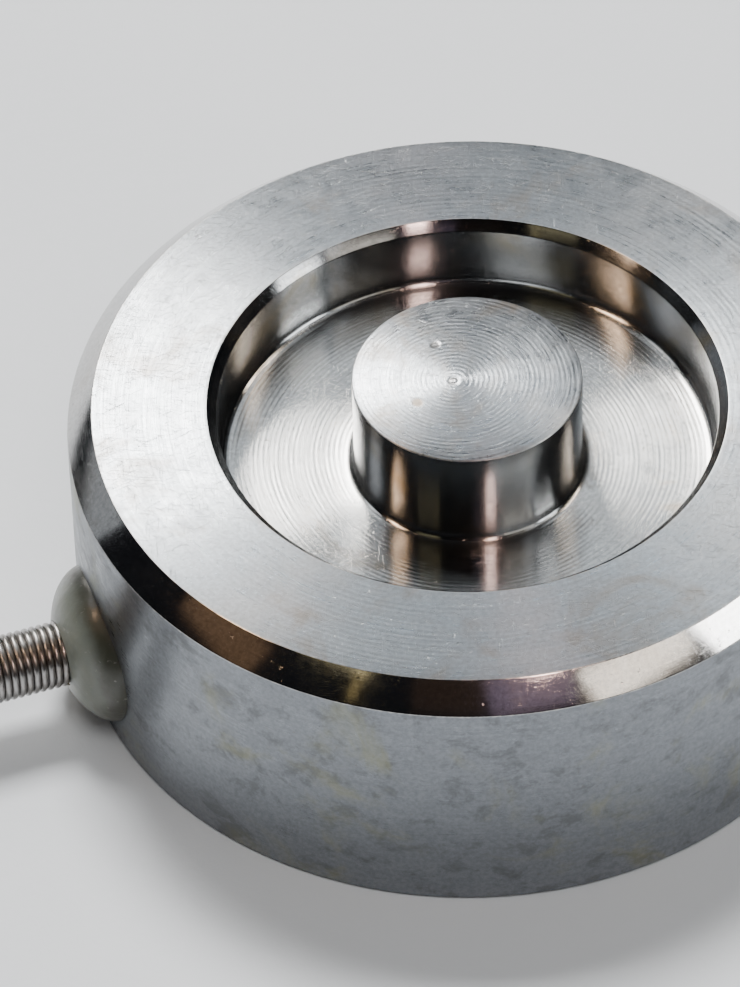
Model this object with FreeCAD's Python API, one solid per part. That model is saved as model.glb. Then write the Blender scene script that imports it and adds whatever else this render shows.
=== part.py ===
"""Miniature ring-and-button compression load cell with a spring-protected cable.

A ring, a thin diaphragm and a raised load button are turned from one bar.  Strain
gauges sit under the diaphragm, in a chamber that a cover closes from below.  The cable
leaves through the side wall inside a close-wound steel spring, set in a dome of sealant.

Frame: origin at the centre of the base face, +Z up through the load button, and the
cable leaves along -X.  Units are millimetres.
"""
import FreeCAD, Part
import math
import os
from FreeCAD import Vector

# ---------------------------------------------------------------- driving dimensions
# turned body
body_d = 38.0              # outside diameter
body_h = 14.0              # base face to the flat top of the ring
top_chamfer = 1.2          # polished edge around the top of the ring
base_chamfer = 0.15        # broken edge around the base
recess_d = 23.8            # wall of the round recess
recess_depth = 3.8         # ring top down to the recess floor
recess_chamfer = 0.45      # edge of the recess
recess_foot_r = 0.6        # fillet where the recess wall meets the floor
button_d = 10.9            # load button
button_rise = 1.5          # button top above the ring top
button_foot_r = 0.5        # fillet where the button meets the floor
diaphragm_t = 1.8          # web between recess floor and gauge chamber

# underside
chamber_d = 22.8           # gauge chamber
chamber_h = 2.0            # diaphragm down to the board ledge
hub_d = 9.0                # stiff hub under the button
hub_drop = 0.9             # hub below the diaphragm
board_ledge = 1.1          # ledge for the board, around the chamber
cover_ledge = 0.5          # ledge for the cover, around the pocket
cover_gap = 0.05           # radial gap around the cover
cover_t = 0.8              # base cover
cover_setback = 0.2        # cover below the base face

# tapped holes in the base
hole_count = 3
hole_d = 2.5               # M3 tapping drill
hole_depth = 6.0
drill_point_angle = 118.0

# cable exit
exit_lift = 0.3            # cable axis above the middle between cover and board ledge
cable_d = 2.2              # outside of the cable jacket
bore_gap = 0.15            # cable to bore, radial
spring_wire_d = 0.35
spring_turn_gap = 0.01     # turn to turn
spring_gap = 0.14          # spring to cable, radial
spring_turns = 21
spring_steps = 13          # straight pieces that make up one turn
spring_seat = 0.6          # depth of the spring's seat in the side wall
seat_gap = 0.1             # spring to seat and to sealant, radial
sealant_gap = 0.1          # foot of the sealant dome above the base face
sealant_crown = 2.4        # height of the dome over its own centre
sealant_sink = 0.5         # dome centre inside the side wall
jacket_inside = 2.6        # jacket past the bore, inside the pocket
stop_wall = 0.4            # hexagonal stop ring crimped on the jacket
stop_len = 1.4

# strain gauges
gauge_count = 4
gauge_first_angle = 45.0
gauge_gap = 0.5            # carrier to hub
carrier_gap = 0.65         # carrier corners to chamber wall
carrier_w = 3.4
carrier_t = 0.08
grid_lines = 5
grid_margin = 1.6          # grid to the outer end of the carrier
grid_line_w = 0.18
grid_pitch = 0.42
grid_t = 0.04
tab_l = 1.2
tab_w = 0.8

# terminal board and what is soldered to it
board_gap = 0.1            # board corners to pocket wall
board_w = 9.0              # strip that spans the pocket, with its ends on the ledge
board_t = 0.8
pad_l = 1.0
pad_w = 0.7
pad_t = 0.05
pad_edge = 0.4             # pads to the long edges of the board
chip_count = 4
chip_l = 1.6
chip_w = 0.8
chip_t = 0.45
chip_pitch = 2.4
core_d = 0.6               # insulated cores of the cable
core_spread = 0.55         # core axes from the cable axis
core_pad_pitch = 2.3
gauge_lead_d = 0.14
lead_stub = 0.3            # straight end of a gauge lead at its solder joint

# free cable, wound up for storage
coil_mean_r = 12.2
coil_rows = 3              # turns beside each other
coil_layers = 4            # turns above each other
coil_centre_x = -46.0
turn_step = 24.0           # degrees between the route's points around the coil
tail_angle = -45.0         # where the last turn starts to move out
tail_steps_out = 4         # steps in which the last turn moves out over the coil's edge
tail_steps_down = 5        # steps in which it then goes down beside the coil
coil_gap = 0.1             # wrapped end to the coil
tie_t = 0.5
tie_w = 2.6
tie_angle = 20.0           # where the tie holds the coil
sleeve_t = 0.25            # shrink sleeve over the end of the jacket
sleeve_l = 6.0
lead_l = 15.0              # cores beyond the sleeve
lead_spread = 1.0          # cores side by side on the ground, from one to the next
lead_fan = 1.3             # and at their ends
lead_tip_d = 0.36
lead_tip_l = 3.0

# ---------------------------------------------------------------- derived values
body_r = body_d / 2
recess_r = recess_d / 2
button_r = button_d / 2
chamber_r = chamber_d / 2
pocket_r = chamber_r + board_ledge
cover_pocket_r = pocket_r + cover_ledge
hole_circle_r = (cover_pocket_r + body_r) / 2
cable_r = cable_d / 2
spring_inner_r = cable_r + spring_gap
spring_mean_r = spring_inner_r + spring_wire_d / 2
spring_outer_r = spring_inner_r + spring_wire_d
spring_pitch = spring_wire_d + spring_turn_gap
spring_len = (spring_turns - 1) * spring_pitch + spring_wire_d
button_top = body_h + button_rise
floor_z = body_h - recess_depth
roof_z = floor_z - diaphragm_t
ledge_z = roof_z - chamber_h
board_top = ledge_z
board_bottom = board_top - board_t
board_half_l = math.sqrt((pocket_r - board_gap) ** 2 - (board_w / 2) ** 2)
cover_ledge_z = cover_setback + cover_t
exit_h = (cover_ledge_z + ledge_z) / 2 + exit_lift
sealant_r = exit_h - sealant_gap
spring_start_x = -(body_r - spring_seat)
cable_exit_x = spring_start_x - spring_len
jacket_end_x = -(pocket_r - jacket_inside)
gauge_inner_r = hub_d / 2 + gauge_gap
carrier_outer_r = math.sqrt((chamber_r - carrier_gap) ** 2 - (carrier_w / 2) ** 2)
carrier_l = carrier_outer_r - gauge_inner_r
grid_line_l = carrier_l - grid_line_w - tab_l - grid_margin
coil_inner_r = coil_mean_r - coil_rows * cable_r
coil_outer_r = coil_mean_r + coil_rows * cable_r
coil_outer_turn_r = coil_outer_r - cable_r
coil_h = coil_layers * cable_d
sleeve_r = cable_r + sleeve_t

FILLET_CHORDS = 2              # straight cuts that make up a fillet
CABLE_SIDES = 8                # sides of the plain solid that stands for the cable
WIRE_SIDES = 6
SEALANT_ROWS = 3
Z_AXIS = Vector(0, 0, 1)
OUTWARD = Vector(-1, 0, 0)     # direction in which the cable leaves


# ---------------------------------------------------------------- helpers
def outline(corners):
    """Closed wire in the XZ plane from (x, z) or (x, z, radius) corners.

    A radius rounds the corner with FILLET_CHORDS short straight cuts, touching the arc.
    """
    points = []
    for i, corner in enumerate(corners):
        here = Vector(corner[0], 0, corner[1])
        if len(corner) == 2:
            points.append(here)
            continue
        back = Vector(corners[i - 1][0], 0, corners[i - 1][1]) - here
        follow = corners[(i + 1) % len(corners)]
        on = Vector(follow[0], 0, follow[1]) - here
        points += rounded(here, back.normalize(), on.normalize(), corner[2])
    return Part.makePolygon(points + points[:1])


def rounded(corner, back, on, radius):
    """Points of a fillet between two unit directions that leave a corner."""
    half = back.getAngle(on) / 2
    centre = corner + (back + on).normalize() * (radius / math.sin(half))
    start = corner + back * (radius / math.tan(half)) - centre
    stop = corner + on * (radius / math.tan(half)) - centre
    arc = []
    for i in range(FILLET_CHORDS + 1):
        share = i / FILLET_CHORDS
        spread = math.pi - 2 * half
        weight_a = math.sin((1 - share) * spread) / math.sin(spread)
        weight_b = math.sin(share * spread) / math.sin(spread)
        arc.append(centre + start * weight_a + stop * weight_b)
    return arc


def turned(corners, centre=Vector(0, 0, 0)):
    """Solid turned about the vertical axis through centre."""
    solid = Part.Face(outline(corners)).revolve(Vector(0, 0, 0), Z_AXIS, 360)
    solid.translate(centre)
    return solid


def ring(inner_r, outer_r, low, high, centre=Vector(0, 0, 0)):
    """Plain round ring between two heights."""
    return turned([(inner_r, low), (outer_r, low), (outer_r, high), (inner_r, high)], centre)


def block(length, width, low, high, x, y):
    """Box centred on x, y and lying between two heights."""
    return Part.makeBox(length, width, high - low, Vector(x - length / 2, y - width / 2, low))


def around(shape, angle):
    """Copy of shape turned about the body axis."""
    copy = shape.copy()
    copy.rotate(Vector(0, 0, 0), Z_AXIS, angle)
    return copy


def around_point(point, angle):
    """Point turned about the body axis."""
    return FreeCAD.Rotation(Z_AXIS, angle).multVec(point)


def polar(radius, angle, height, centre=Vector(0, 0, 0)):
    """Point at a radius and an angle in degrees about a vertical axis."""
    turn = math.radians(angle)
    return centre + Vector(radius * math.cos(turn), radius * math.sin(turn), height)


def eased(share):
    """Share of a move that starts and stops gently, held between 0 and 1."""
    share = min(max(share, 0), 1)
    return share * share * (3 - 2 * share)


def bent_path(points, radii=None):
    """Wire of straight runs joined by tangent arcs, each as large as its two runs allow."""
    edges, last = [], points[0]
    for before, here, after in zip(points, points[1:], points[2:]):
        back, on = before - here, after - here
        half = (math.pi - back.getAngle(on)) / 2
        reach = 0.45 * min(back.Length, on.Length)
        radius = reach / math.tan(half)
        if radii is not None:
            radii.append(radius)
        back.normalize()
        on.normalize()
        middle = here + (back + on).normalize() * (radius / math.cos(half) - radius)
        start, stop = here + back * reach, here + on * reach
        edges.append(Part.LineSegment(last, start).toShape())
        edges.append(Part.Arc(start, middle, stop).toShape())
        last = stop
    edges.append(Part.LineSegment(last, points[-1]).toShape())
    return Part.Wire(edges)


def section_across(points, diameter, sides):
    """Outline with so many sides, across the start of a route."""
    along = (points[1] - points[0]).normalize()
    circle = Part.makeCircle(diameter / 2, points[0], along)
    return Part.makePolygon(circle.discretize(sides + 1))


def cable_tube(points, radii):
    """Length of cable along straight runs and tangent arcs."""
    section = section_across(points, cable_d, CABLE_SIDES)
    return bent_path(points, radii).makePipeShell([section], True, True)


def thin_wire(points, diameter):
    """Fine wire, bent sharply at its points."""
    path = Part.makePolygon(points)
    section = section_across(points, diameter, WIRE_SIDES)
    return path.makePipeShell([section], True, True, 1)


# ---------------------------------------------------------------- body and base
def tapped_hole():
    """Blind tapping-size hole on the hole circle, down to its drill point."""
    r = hole_d / 2
    point_h = r / math.tan(math.radians(drill_point_angle / 2))
    centre = Vector(hole_circle_r, 0, 0)
    return turned([(0, -1), (r, -1), (r, hole_depth), (0, hole_depth + point_h)], centre)


def sensing_body():
    """Ring, diaphragm and load button in one turned piece, with its holes."""
    body = turned([
        (0, roof_z - hub_drop), (hub_d / 2, roof_z - hub_drop), (hub_d / 2, roof_z),
        (chamber_r, roof_z), (chamber_r, ledge_z), (pocket_r, ledge_z),
        (pocket_r, cover_ledge_z), (cover_pocket_r, cover_ledge_z), (cover_pocket_r, 0),
        (body_r - base_chamfer, 0), (body_r, base_chamfer),
        (body_r, body_h - top_chamfer), (body_r - top_chamfer, body_h),
        (recess_r + recess_chamfer, body_h), (recess_r, body_h - recess_chamfer),
        (recess_r, floor_z, recess_foot_r), (button_r, floor_z, button_foot_r),
        (button_r, button_top), (0, button_top)])
    bore_start = Vector(-(pocket_r - 1), 0, exit_h)
    bore = Part.makeCylinder(cable_r + bore_gap, body_r, bore_start, OUTWARD)
    seat_start = Vector(spring_start_x, 0, exit_h)
    seat = Part.makeCylinder(spring_outer_r + seat_gap, body_r, seat_start, OUTWARD)
    holes = [around(tapped_hole(), 360.0 * i / hole_count) for i in range(hole_count)]
    return body.cut([bore, seat] + holes)


def base_cover():
    """Flat disc that closes the pocket, just inside the base face."""
    return ring(0, cover_pocket_r - cover_gap, cover_setback, cover_ledge_z)


# ---------------------------------------------------------------- gauges and board
def gauge_angles():
    """Angles of the gauges about the body axis."""
    return [gauge_first_angle + 360.0 * i / gauge_count for i in range(gauge_count)]


def gauge_carrier(angle):
    """Film that carries one gauge, bonded under the diaphragm."""
    x = gauge_inner_r + carrier_l / 2
    return around(block(carrier_l, carrier_w, roof_z - carrier_t, roof_z, x, 0), angle)


def gauge_grid(angle):
    """Foil grid of one gauge: a folded line with two solder tabs at its inner end."""
    high = roof_z - carrier_t
    low = high - grid_t
    tabs_x = gauge_inner_r + tab_l / 2 + grid_line_w
    first_x = tabs_x + tab_l / 2
    far_x = first_x + grid_line_l
    first_y = -grid_pitch * (grid_lines - 1) / 2
    pieces = []
    for i in range(grid_lines):
        y = first_y + i * grid_pitch
        pieces.append(block(grid_line_l, grid_line_w, low, high, (first_x + far_x) / 2, y))
        if i + 1 < grid_lines:
            x = (far_x - grid_line_w / 2) if i % 2 == 0 else (first_x + grid_line_w / 2)
            loop = block(grid_line_w, grid_pitch + grid_line_w, low, high, x, y + grid_pitch / 2)
            pieces.append(loop)
    last_y = -first_y if grid_lines % 2 else first_y
    for side, line_y in ((-1, first_y), (1, last_y)):
        pieces.append(block(tab_l, tab_w, low, high, tabs_x, side * tab_y()))
        bridge_w = abs(abs(line_y) - tab_y()) + grid_line_w
        bridge_y = side * (abs(line_y) + tab_y()) / 2
        pieces.append(block(grid_line_w, bridge_w, low, high, first_x, bridge_y))
    grid = pieces[0].fuse(pieces[1:]).removeSplitter()
    return around(grid, angle)


def tab_y():
    """Distance of a gauge's solder tabs from its centre line."""
    return grid_pitch * (grid_lines - 1) / 2


def terminal_board():
    """Strip board across the pocket, bonded to the ledge at both ends."""
    return block(board_w, 2 * board_half_l, board_bottom, board_top, 0, 0)


def core_pads():
    """Places on the underside of the board where the four cores are soldered."""
    x = -(board_w / 2 - pad_edge - pad_l / 2)
    return [Vector(x, (i - 1.5) * core_pad_pitch, board_bottom) for i in range(4)]


def lead_pads():
    """Places on top of the board for the gauge leads, a pair near each gauge."""
    x = board_w / 2 - pad_edge - pad_l / 2
    pads = []
    for angle in gauge_angles():
        middle = polar(gauge_inner_r, angle, board_top)
        for side in (-1, 1):
            across = middle.y + side * pad_w
            pads.append(Vector(math.copysign(x, middle.x), across, board_top))
    return pads


def terminal_pads():
    """Solder pads: four below for the cores and a pair above for each gauge."""
    below = [block(pad_l, pad_w, board_bottom - pad_t, board_bottom, spot.x, spot.y)
             for spot in core_pads()]
    above = [block(pad_l, pad_w, board_top, board_top + pad_t, spot.x, spot.y)
             for spot in lead_pads()]
    return Part.makeCompound(below + above)


def chip_resistor(index):
    """Trimming resistor on the underside of the board, in a row clear of the cores."""
    y = (index - (chip_count - 1) / 2) * chip_pitch
    x = board_w / 2 - pad_edge - chip_l / 2
    return block(chip_l, chip_w, board_bottom - chip_t, board_bottom, x, y)


def gauge_leads():
    """Fine enamelled leads from the gauge tabs down to the board."""
    tab_x = gauge_inner_r + tab_l / 2 + grid_line_w
    tab_z = roof_z - carrier_t - grid_t
    leads = []
    for i, pad in enumerate(lead_pads()):
        angle = gauge_angles()[i // 2]
        ends = [around_point(Vector(tab_x, side * tab_y(), tab_z), angle) for side in (-1, 1)]
        top = min(ends, key=lambda end: (end.y - pad.y) * (1 if i % 2 == 0 else -1))
        foot = pad + Vector(0, 0, pad_t)
        stub = Vector(0, 0, lead_stub)
        leads.append(thin_wire([top, top - stub, foot + stub, foot], gauge_lead_d))
    return Part.makeCompound(leads)


# ---------------------------------------------------------------- cable in the body
def core_starts():
    """Centres of the four cores in the cut end of the jacket, in order across the cable."""
    spots = []
    for i in range(4):
        turn = math.radians(45 + 90 * i)
        spots.append((core_spread * math.cos(turn), core_spread * math.sin(turn)))
    return sorted(spots)


def core_wire(index):
    """Insulated core from the cut end of the cable up to its pad on the board."""
    across, up = core_starts()[index]
    pad = core_pads()[index]
    start = Vector(jacket_end_x, across, exit_h + up)
    top = Vector(pad.x, pad.y, board_bottom - pad_t)
    ahead = start + Vector((pad.x - jacket_end_x) / 3, 0, 0)
    below = Vector(pad.x, pad.y, (start.z + top.z) / 2)
    return thin_wire([start, ahead, below, top], core_d)


def cable_lead_in():
    """Jacket from the pocket, through the wall and the spring, to the spring's free end."""
    length = jacket_end_x - cable_exit_x
    return Part.makeCylinder(cable_r, length, Vector(jacket_end_x, 0, exit_h), OUTWARD)


def cable_stop():
    """Hexagonal ring crimped on the jacket against the pocket wall: the cable can't pull out."""
    corner_r = (cable_r + bore_gap + stop_wall)
    wall_x = -math.sqrt(pocket_r ** 2 - corner_r ** 2)
    start = Vector(wall_x + stop_len, 0, exit_h)
    circle = Part.makeCircle(corner_r, start, OUTWARD)
    outer = Part.Face(Part.makePolygon(circle.discretize(7))).extrude(OUTWARD * stop_len)
    return outer.cut(Part.makeCylinder(cable_r, stop_len, start, OUTWARD))


def cable_sealant():
    """Dome of sealant where the spring leaves the side wall: a squashed ball, cut to the wall."""
    rows = []
    for i in range(SEALANT_ROWS + 1):
        lift = math.pi / 2 * i / SEALANT_ROWS
        rows.append((sealant_r * math.cos(lift), sealant_crown * math.sin(lift)))
    dome = Part.Face(outline([(0, 0)] + rows)).revolve(Vector(0, 0, 0), Z_AXIS, 360)
    dome.rotate(Vector(0, 0, 0), Vector(0, 1, 0), -90)
    dome.translate(Vector(-(body_r - sealant_sink), 0, exit_h))
    wall = Part.makeCylinder(body_r, body_h)
    hole_start = Vector(-body_r / 2, 0, exit_h)
    hole = Part.makeCylinder(spring_outer_r + seat_gap, body_r, hole_start, OUTWARD)
    return dome.cut([wall, hole])


def spring_section(turn):
    """Six-sided outline of the spring wire after so many turns."""
    r = spring_wire_d / 2
    first = Vector(spring_start_x - r, 0, exit_h)
    swing = 2 * math.pi * turn
    corners = []
    for i in range(6):
        around_wire = math.radians(30 + 60 * i)
        reach = spring_mean_r + r * math.cos(around_wire)
        corners.append(first + Vector(r * math.sin(around_wire) - spring_pitch * turn,
                                      reach * math.sin(swing), reach * math.cos(swing)))
    return Part.makePolygon(corners + corners[:1])


def strain_relief_spring():
    """Close-wound spring: its wire is lofted straight from section to section."""
    count = (spring_turns - 1) * spring_steps
    sections = [spring_section(i / spring_steps) for i in range(count + 1)]
    return Part.makeLoft(sections, True, True)


# ---------------------------------------------------------------- free cable
def coil_centre():
    """Centre of the coil on the ground: the cable meets its outer turn going straight back."""
    return Vector(coil_centre_x, coil_outer_turn_r, 0)


def run_points():
    """Route of the cable from the spring down to the ground and into the coil's outer turn."""
    ground = [polar(coil_outer_turn_r, -90 + turn_step / 2, cable_r, coil_centre()),
              polar(coil_outer_turn_r, -90 - turn_step / 2, cable_r, coil_centre())]
    return [Vector(cable_exit_x, 0, exit_h), Vector(-32.0, 0, exit_h),
            Vector(-37.6, -0.5, 2.2)] + ground


def cable_run():
    """Cable from the spring to the coil."""
    radii = []
    tube = cable_tube(run_points(), radii)
    check_cable("cable_run", tube, run_points(), radii)
    return tube.cut(cable_coil())


def beside_coil(length, width, low, high, from_r):
    """Box across the bundle of turns at the tie, from a radius outwards."""
    box = Part.makeBox(length, width, high - low, Vector(from_r, -width / 2, low))
    box.rotate(Vector(0, 0, 0), Z_AXIS, tie_angle)
    box.translate(coil_centre())
    return box


def cable_coil():
    """Outer shape of the coil in one solid, without the room of its tie under it."""
    bundle = ring(coil_inner_r, coil_outer_r, 0, coil_h, coil_centre())
    bundle_w = coil_outer_r - coil_inner_r
    slot = beside_coil(bundle_w + 4 * tie_t, tie_w, 0, tie_t, coil_inner_r - 2 * tie_t)
    return bundle.cut(slot)


def coil_tie():
    """Band around the bundle, let into its underside so that the coil lies flat."""
    bundle_w = coil_outer_r - coil_inner_r
    band = beside_coil(bundle_w + 2 * tie_t, tie_w, 0, coil_h + tie_t, coil_inner_r - tie_t)
    return band.cut(cable_coil())


def tail_points():
    """Route of the end: off the top outer turn, over the edge and down beside the coil."""
    wrap_r = coil_outer_r + coil_gap + cable_r
    top = coil_h - cable_r
    points = []
    for i in range(-1, tail_steps_out + tail_steps_down + 1):
        out = eased(i / tail_steps_out)
        down = eased((i - tail_steps_out) / tail_steps_down)
        radius = coil_outer_turn_r + (wrap_r - coil_outer_turn_r) * out
        height = top + (sleeve_r - top) * down
        points.append(polar(radius, tail_angle - turn_step * i, height, coil_centre()))
    on = points[-1] - points[-2]
    points.append(points[-1] + Vector(on.x, on.y, 0))
    return points


def cable_tail():
    """Cable from the coil to the cut end of its jacket."""
    radii = []
    tube = cable_tube(tail_points(), radii)
    check_cable("cable_tail", tube, tail_points(), radii)
    return tube.cut(cable_coil())


def tail_end():
    """Cut end of the jacket, the level direction on from it, and the direction to its left."""
    points = tail_points()
    on = (points[-1] - points[-2]).normalize()
    return points[-1], on, Z_AXIS.cross(on)


def end_sleeve():
    """Shrink sleeve over the end of the jacket and the start of the cores."""
    end, on, _ = tail_end()
    start = end - on * (sleeve_l / 2)
    outer = Part.makeCylinder(sleeve_r, sleeve_l, start, on)
    return outer.cut(Part.makeCylinder(cable_r, sleeve_l, start, on))


def lead_points(index):
    """Route of one core beyond the jacket: out of the sleeve, down, and fanned out."""
    end, on, left = tail_end()
    across, up = core_starts()[index]
    start = end + left * across + Z_AXIS * up
    mouth = start + on * (sleeve_l / 2)
    share = index - 1.5
    knee = mouth + on * (lead_l / 3) + left * (share * lead_spread - across)
    tip = mouth + on * lead_l + left * (share * lead_fan - across)
    knee.z = tip.z = core_d / 2
    return [start, mouth, knee, tip]


def lead_wire(index):
    """Insulated core beyond the jacket."""
    return thin_wire(lead_points(index), core_d)


def lead_tips():
    """Stripped and tinned ends of the four cores."""
    tips = []
    for index in range(4):
        points = lead_points(index)
        on = (points[-1] - points[-2]).normalize()
        tips.append(thin_wire([points[-1], points[-1] + on * lead_tip_l], lead_tip_d))
    return Part.makeCompound(tips)


def check_cable(name, tube, points, radii):
    """Print a tube's arc radii and its volume against its section times its length."""
    section = Part.Face(section_across(points, cable_d, CABLE_SIDES)).Area
    length = bent_path(points).Length
    print(name, "radii", ["%.1f" % r for r in radii])
    print(name, "length %.1f  volume %.1f  section x length %.1f"
          % (length, tube.Volume, section * length))


# ---------------------------------------------------------------- write the nodes
os.makedirs("parts", exist_ok=True)

CORE_COLOURS = ("red", "black", "green", "white")

nodes = {
    "sensing_body": sensing_body(),
    "base_cover": base_cover(),
    "terminal_board": terminal_board(),
    "terminal_pads": terminal_pads(),
    "gauge_leads": gauge_leads(),
    "cable_stop": cable_stop(),
    "cable_lead_in": cable_lead_in(),
    "cable_sealant": cable_sealant(),
    "strain_relief_spring": strain_relief_spring(),
    "cable_run": cable_run(),
    "cable_coil": cable_coil(),
    "coil_tie": coil_tie(),
    "cable_tail": cable_tail(),
    "end_sleeve": end_sleeve(),
    "lead_tips": lead_tips(),
}
for number, angle in enumerate(gauge_angles(), 1):
    nodes["gauge_carrier_%d" % number] = gauge_carrier(angle)
    nodes["gauge_grid_%d" % number] = gauge_grid(angle)
for number in range(chip_count):
    nodes["chip_resistor_%d" % (number + 1)] = chip_resistor(number)
for number, colour in enumerate(CORE_COLOURS):
    nodes["core_" + colour] = core_wire(number)
    nodes["lead_" + colour] = lead_wire(number)

for name, shape in nodes.items():
    shape.exportStep("parts/" + name + ".step")
    print("%-22s solids %2d  volume %9.3f" % (name, len(shape.Solids), shape.Volume))
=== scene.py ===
# %% [markdown]
# # Ring-and-button load cell
#
# The real object is one round piece of steel whose thin floor bends when its middle button is
# pressed, with a spring and a blob of resin where the cable leaves its side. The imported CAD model
# is the frame, and its nodes stay as they are. This notebook sets the camera, models the pieces
# that show with finer meshes than the solids have, and gives every piece a procedural finish.
#
# Sizes are written in millimetres in the part's own frame: the origin is at the centre of the
# base, +Z goes up through the button, and the cable leaves along -X. Meshes hold metres.

import math

import bpy
from mathutils import Matrix, Vector


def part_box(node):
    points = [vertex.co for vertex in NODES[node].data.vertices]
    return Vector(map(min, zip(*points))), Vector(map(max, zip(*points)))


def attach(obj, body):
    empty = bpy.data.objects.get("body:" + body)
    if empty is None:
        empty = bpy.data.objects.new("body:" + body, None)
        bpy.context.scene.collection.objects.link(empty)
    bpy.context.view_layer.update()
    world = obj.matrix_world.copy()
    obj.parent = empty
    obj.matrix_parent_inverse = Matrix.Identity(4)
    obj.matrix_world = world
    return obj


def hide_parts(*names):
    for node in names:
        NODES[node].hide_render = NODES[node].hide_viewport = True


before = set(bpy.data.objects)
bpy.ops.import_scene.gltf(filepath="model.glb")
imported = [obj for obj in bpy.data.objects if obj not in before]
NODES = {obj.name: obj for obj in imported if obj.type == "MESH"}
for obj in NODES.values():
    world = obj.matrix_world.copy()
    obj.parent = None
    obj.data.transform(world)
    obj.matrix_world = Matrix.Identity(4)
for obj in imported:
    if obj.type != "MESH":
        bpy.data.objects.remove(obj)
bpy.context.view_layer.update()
MM = 0.001

# %% [markdown]
# ## Camera
#
# A small turned part is best seen from above and a little to one side, so that its top, its floor
# and its side all show. A camera can be aimed with a Track To constraint, or its matrix can be
# built from three directions: right, up, and back to the viewer. The second way is used, because
# the aim then moves by millimetres across the picture, and the lights are counted from the same
# angle. A long lens, almost nine ring widths away, keeps the ring nearly free of perspective.

# %% Set the camera
AZIMUTH, ELEVATION, ROLL = math.radians(-18.0), math.radians(46.4), math.radians(-1.5)
DISTANCE = 326.6 * MM
LENS = 247.4
AIM_HEIGHT, AIM_LEFT, AIM_UP = 6.0 * MM, 4.72 * MM, 1.23 * MM


def direction(azimuth, elevation):
    """Unit vector to a place in the studio, with the azimuth counted from the front."""
    return Vector((math.sin(azimuth) * math.cos(elevation),
                   -math.cos(azimuth) * math.cos(elevation), math.sin(elevation)))


right = Vector((math.cos(AZIMUTH), math.sin(AZIMUTH), 0))
back = direction(AZIMUTH, ELEVATION)
up = back.cross(right)
aim = Vector((0, 0, AIM_HEIGHT)) - right * AIM_LEFT + up * AIM_UP

camera_data = bpy.data.cameras.new("camera")
camera_data.lens = LENS
camera_data.clip_start = 0.01
camera = bpy.data.objects.new("camera", camera_data)
bpy.context.scene.collection.objects.link(camera)
facing = Matrix((right, up, back)).transposed().to_4x4() @ Matrix.Rotation(ROLL, 4, "Z")
camera.matrix_world = Matrix.Translation(aim + back * DISTANCE) @ facing
bpy.context.scene.camera = camera
print("camera at", [round(v, 3) for v in camera.matrix_world.translation])

# %% [markdown]
# ## Free cable
#
# The real cable is one round jacket that leaves the spring, comes down to the table and is wound
# into a neat coil of twelve turns, three beside each other and four high. Its end moves out over
# the coil's edge and goes down beside it. A cord could be simulated or drawn by hand. Here one
# spline is used, because a coil that is held by a tie lies still, and a loop can place its turns
# at one jacket's width from each other, as on the solid.

# %% Sizes of the cable and its coil
CABLE_D = 2.2
CABLE_R = CABLE_D / 2
COIL_CENTRE = Vector((-46.0, 14.4, 0))
OUTER_TURN = 14.4
LAYERS, ROWS = 4, 3
TURNS = LAYERS * ROWS
POINT_STEP = 24.0
COIL_START, TAIL_ANGLE = -102.0, -45.0
COIL_INNER = OUTER_TURN - CABLE_D * (ROWS - 1) - CABLE_R
COIL_OUTER = OUTER_TURN + CABLE_R
spring_low, spring_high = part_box("strain_relief_spring")
EXIT_X, EXIT_H = spring_low.x / MM, (spring_low.z + spring_high.z) / 2 / MM
print("cable leaves at x", round(EXIT_X, 2), "z", round(EXIT_H, 2), "coil", TURNS, "turns")


# %% Places about an axis, and moves that start gently
def at_angle(radius, degrees, height, centre=COIL_CENTRE):
    """Point in millimetres at a radius and an angle about a vertical axis."""
    angle = math.radians(degrees)
    return centre + Vector((radius * math.cos(angle), radius * math.sin(angle), height))


def eased(share):
    """Share of a move that starts and stops gently, held between 0 and 1."""
    share = min(max(share, 0), 1)
    return share * share * (3 - 2 * share)


print("a quarter of the way, eased:", eased(.25))


# %% From the spring down to the coil
def run_points():
    """From the spring down to the ground and into the coil's outer turn."""
    return [Vector((EXIT_X, 0, EXIT_H)), Vector((-32.0, 0, EXIT_H)), Vector((-37.6, -0.5, 2.2)),
            at_angle(OUTER_TURN, -78, CABLE_R), at_angle(OUTER_TURN, COIL_START, CABLE_R)]


print("run", [tuple(round(v, 1) for v in point) for point in run_points()])

# %% The coil's turns
TIE_ANGLE, TIE_T, TIE_W = 20.0, .5, 2.6
TIE_REACH = 30.0        # degrees over which a turn climbs onto the tie's band
CROSS_ANGLE, CROSS_REACH = -90, 72


def coil_points():
    """The turns, clockwise. Each turn moves to the next row or layer as it begins."""
    rows = [OUTER_TURN - CABLE_D * i for i in range(ROWS)]
    seats = [(rows[i] if layer % 2 == 0 else rows[ROWS - 1 - i], CABLE_R + CABLE_D * layer)
             for layer in range(LAYERS) for i in range(ROWS)]
    last = TAIL_ANGLE + POINT_STEP - 360 * TURNS
    count = round((COIL_START - last) / POINT_STEP)
    drawn_in = math.cos(math.radians(POINT_STEP / 2))       # the spline runs inside its points
    points = []
    for j in range(1, count):
        angle = COIL_START + (last - COIL_START) * j / count
        turns = (CROSS_ANGLE - angle) / 360
        step = min(int(turns + 0.5), TURNS - 1)
        share = eased(0.5 + (turns - step) * 360 / CROSS_REACH) if step > 0 else 1.0
        before, after = seats[max(step - 1, 0)], seats[step]
        radius = before[0] + (after[0] - before[0]) * share
        height = before[1] + (after[1] - before[1]) * share
        off_tie = abs((angle - TIE_ANGLE + 180) % 360 - 180)
        height += TIE_T * eased(1.5 - off_tie / TIE_REACH)
        points.append(at_angle(radius / drawn_in, angle, height))
    return points


print("points in the coil", len(coil_points()))

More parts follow.
